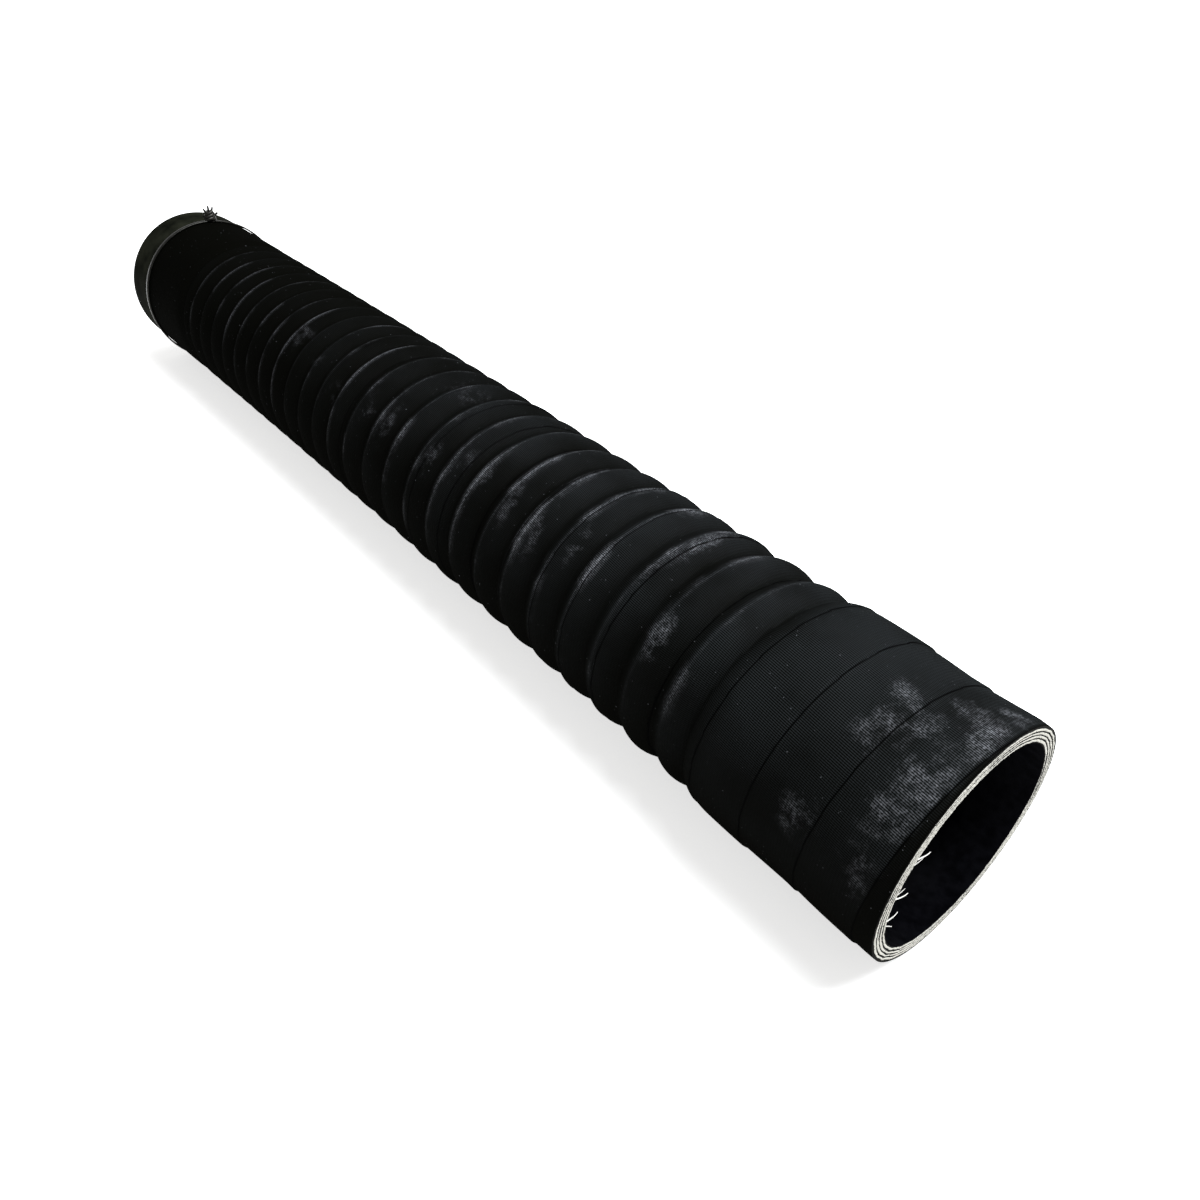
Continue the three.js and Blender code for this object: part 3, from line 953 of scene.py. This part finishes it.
# %% Threads over the bore
THREADS = [
    # angle, radii of its points, turn from point to point, half thickness
    (124, (38.6, 37.0, 35.2, 33.4), 1.3, 0.22),
    (121, (38.6, 37.4, 36.4), 2.0, 0.14),
    (102.7, (38.9, 37.0, 34.6, 32.4), -0.5, 0.22),
    (105, (38.7, 37.6, 36.7), 1.6, 0.14),
    (87.7, (38.9, 37.2, 35.8, 34.4), 0.5, 0.22),
    (84, (38.7, 37.2, 36.0), -2.4, 0.18),
]
THREAD_REACH = (0.0, 0.3, 0.5, 0.4)


def thread_points(angle, radii, lean):
    """Points that run inwards from the wall at the near end, in metres."""
    points = []
    for step, radius in enumerate(radii):
        turn = math.radians(angle + lean * step)
        points.append(tuple(place(-THREAD_REACH[step], radius, turn)))
    return points


thread_meshes = []
for angle, radii, lean, half_thickness in THREADS:
    points = thread_points(angle, radii, lean)
    thread_meshes.append(strand("thread", points, half_thickness / MM, THREAD_TIP))
frayed_threads = join_meshes("frayed_threads", thread_meshes)
print("threads", len(frayed_threads.data.polygons), "faces")

# %% [markdown]
# The yarn of a loose thread is bleached and dry, so it is the palest thing on the hose and scatters
# its light all round. Its fibres are about 0.02 mm, too fine to show, so the noise that breaks up
# its colour is drawn at 0.3 mm.


# %% Bleached yarn
FIBRE_OF_YARN = 0.3333


def bleached_yarn():
    material, tree, shader = new_material("bleached_yarn")
    solid = add_node(tree, "ShaderNodeTexCoord", {}).outputs["Object"]
    fibres = add_node(tree, "ShaderNodeTexNoise",
                      {"Vector": solid, "Scale": per_metre(FIBRE_OF_YARN)})
    colour = add_node(tree, "ShaderNodeMix",
                      {"Factor": fibres.outputs[0], 6: linear("#a5a39c"), 7: linear("#d8d6d0")},
                      data_type="RGBA")
    tree.links.new(colour.outputs[2], shader.inputs["Base Color"])
    shader.inputs["Roughness"].default_value = 0.9
    return material


frayed_threads.data.materials.append(bleached_yarn())
print("finish of the threads", frayed_threads.data.materials[0].name)

# %% [markdown]
# The tie is a soft steel band pulled tight round the far cuff. Its section is higher on one side and
# falls away to a thin lip, so it catches the light as one thin line. A cube-shaped section would be
# evenly bright, so the band is a ring with a profile of its own.

# %% Band of the tie
TIE_INNER = 44.3
TIE_THICKNESS = 1.0
TIE_WIDTH = 4.0
BAND_LINES = 360
BAND_PROFILE = [
    # shares of the width and of the thickness
    (-0.5, 0.0),
    (-0.5, 0.62),
    (-0.42, 0.9),
    (-0.26, 1.0),
    (0.0, 0.86),
    (0.3, 0.55),
    (0.46, 0.42),
    (0.5, 0.3),
    (0.5, 0.0),
]


def build_band():
    angle = np.arange(BAND_LINES) * math.tau / BAND_LINES
    along = [np.full(BAND_LINES, TIE_ALONG + across * TIE_WIDTH) for across, height in BAND_PROFILE]
    radius = [np.full(BAND_LINES, TIE_INNER + height * TIE_THICKNESS) for across, height in BAND_PROFILE]
    return grid_mesh("band", np.array(along), np.array(radius), angle)


# %% [markdown]
# The band's two ends are twisted together on top and cut off short, so they stand up as a small
# ragged knot. Three strands wound round each other make the twist, and five short ones with thin
# tips make the cut ends. Sculpting would give the same lump, but strands keep the gaps between them.

# %% Knot of the tie
KNOT_ANGLE = math.radians(188.5)
TWIST_STRANDS = 3
TWIST_POINTS = 7
TWIST_TURN = 1.1
TWIST_RISE = 0.9
TWIST_SUNK = 0.4
TWIST_REACH = 1.6
TWIST_TAPER = 0.12
TWIST_SPREAD = 1.6
TWIST_HALF_THICKNESS = 1.6
TIP_HALF_THICKNESS = 1.2
CUT_TIPS = [
    # to the side, up, and towards the ribs
    (-4.4, 4.6, 0.5),
    (-1.9, 7.6, -0.6),
    (0.9, 8.6, 0.6),
    (3.2, 6.8, -0.3),
    (4.6, 3.4, 0.8),
]


def knot_point(up, side, forward):
    """A point of the knot in metres: up from the band, to the side, and towards the ribs."""
    angle = KNOT_ANGLE - side / TIE_INNER
    return tuple(place(TIE_ALONG - forward, TIE_INNER + TIE_THICKNESS + up, angle))


def twist_strand(start):
    """One of the strands that wind round each other, from its angle at the start."""
    points = []
    for step in range(TWIST_POINTS):
        turn = start + step * TWIST_TURN
        reach = TWIST_REACH - TWIST_TAPER * step
        side = reach * math.cos(turn) * TWIST_SPREAD
        points.append(knot_point(step * TWIST_RISE - TWIST_SUNK, side, reach * math.sin(turn)))
    return strand("twist", points, TWIST_HALF_THICKNESS / MM, 0.75)


def cut_tip(side, up, forward):
    """A short end that bends outwards from the middle of the knot."""
    points = [
        knot_point(0.8, side * 0.3, 0),
        knot_point(up * 0.6, side * 0.6, forward * 0.5),
        knot_point(up, side, forward),
    ]
    return strand("cut_tip", points, TIP_HALF_THICKNESS / MM, 0.4)


twists = [twist_strand(start * math.tau / TWIST_STRANDS) for start in range(TWIST_STRANDS)]
tips = [cut_tip(*tip) for tip in CUT_TIPS]
tie_band = join_meshes("tie_band", [build_band(), *twists, *tips])
print("tie", len(tie_band.data.polygons), "faces")

# %% [markdown]
# The tie is annealed low-carbon steel, heated so that it bends easily, which leaves a dark skin of
# oxide. The eye sees a dull, nearly black metal with soft bright places. It keeps the default IOR of
# a metal and is a little less metallic than bare steel, because of the oxide. Noise varies the
# skin's colour and roughness together.


# %% Annealed steel
PATCH_OF_OXIDE = 4.545


def annealed_steel():
    material, tree, shader = new_material("annealed_steel")
    solid = add_node(tree, "ShaderNodeTexCoord", {}).outputs["Object"]
    oxide = add_node(tree, "ShaderNodeTexNoise",
                     {"Vector": solid, "Scale": per_metre(PATCH_OF_OXIDE), "Detail": 4.0})
    colour = add_node(tree, "ShaderNodeMix",
                      {"Factor": oxide.outputs[0], 6: linear("#070706"), 7: linear("#262521")},
                      data_type="RGBA")
    roughness = add_node(tree, "ShaderNodeMapRange", {0: oxide.outputs[0], 3: 0.3, 4: 0.5})
    tree.links.new(colour.outputs[2], shader.inputs["Base Color"])
    tree.links.new(roughness.outputs[0], shader.inputs["Roughness"])
    shader.inputs["Metallic"].default_value = 0.85
    return material


tie_band.data.materials.append(annealed_steel())
print("finish of the tie", tie_band.data.materials[0].name)

# %% [markdown]
# The hose lies on a plain white table under soft light. One large lamp stands behind it and to the
# right, so a soft shadow falls to the front left, and the white room around fills in the rest. The
# table gives off a little light of its own, which keeps it white all the way to the picture's edge.


# %% Table
TABLE_REACH = 6.0
TABLE_GLOW = 0.66


def white_table():
    corners = ((-1, -1), (1, -1), (1, 1), (-1, 1))
    mesh = bpy.data.meshes.new("table")
    mesh.from_pydata([(x * TABLE_REACH, y * TABLE_REACH, 0) for x, y in corners], [], [(0, 1, 2, 3)])
    piece = bpy.data.objects.new("table", mesh)
    bpy.context.scene.collection.objects.link(piece)
    material, tree, shader = new_material("white_table")
    shader.inputs["Base Color"].default_value = linear("#cccbc8")
    shader.inputs["Roughness"].default_value = 0.9
    shader.inputs["Emission Color"].default_value = linear("#ffffff")
    shader.inputs["Emission Strength"].default_value = TABLE_GLOW
    mesh.materials.append(material)
    return piece


table = white_table()
print("table", round(2 * TABLE_REACH), "m wide")

# %% Lamp and room
LAMP_PLACE = Vector((0.45, 0.45, 1.5))
LAMP_AIM = Vector((0.15, 0, 0))
LAMP_SIDE = 1.0
LAMP_WATTS = 90
ROOM_LIGHT = 0.5
lamp_data = bpy.data.lights.new("window", "AREA")
lamp_data.size = LAMP_SIDE
lamp_data.energy = LAMP_WATTS
lamp_data.color = linear("#f6faff")[:3]
lamp = bpy.data.objects.new("window", lamp_data)
lamp.location = LAMP_PLACE
lamp.rotation_euler = (LAMP_AIM - LAMP_PLACE).to_track_quat("-Z", "Y").to_euler()
bpy.context.scene.collection.objects.link(lamp)
room = bpy.data.worlds.new("studio")
room.use_nodes = True
background = room.node_tree.nodes["Background"]
background.inputs["Color"].default_value = linear("#ffffff")
background.inputs["Strength"].default_value = ROOM_LIGHT
bpy.context.scene.world = room
bpy.context.scene.view_settings.view_transform = "Standard"
print("lamp", LAMP_WATTS, "W at", round(LAMP_PLACE.length, 2), "m from the middle of the table")

# %% [markdown]
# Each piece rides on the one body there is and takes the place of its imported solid. The cut plies and
# the threads belong to the hose, so all three replace the same node. The table is only the stage.

# %% Hand the pieces to the frame
for piece, node, slot in ((hose_wall, "hose", "rubber"), (cut_plies, "hose", "rubber"),
                          (frayed_threads, "hose", "rubber"), (tie_band, "tie", "tie_metal")):
    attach(piece, "root")
    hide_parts(node)
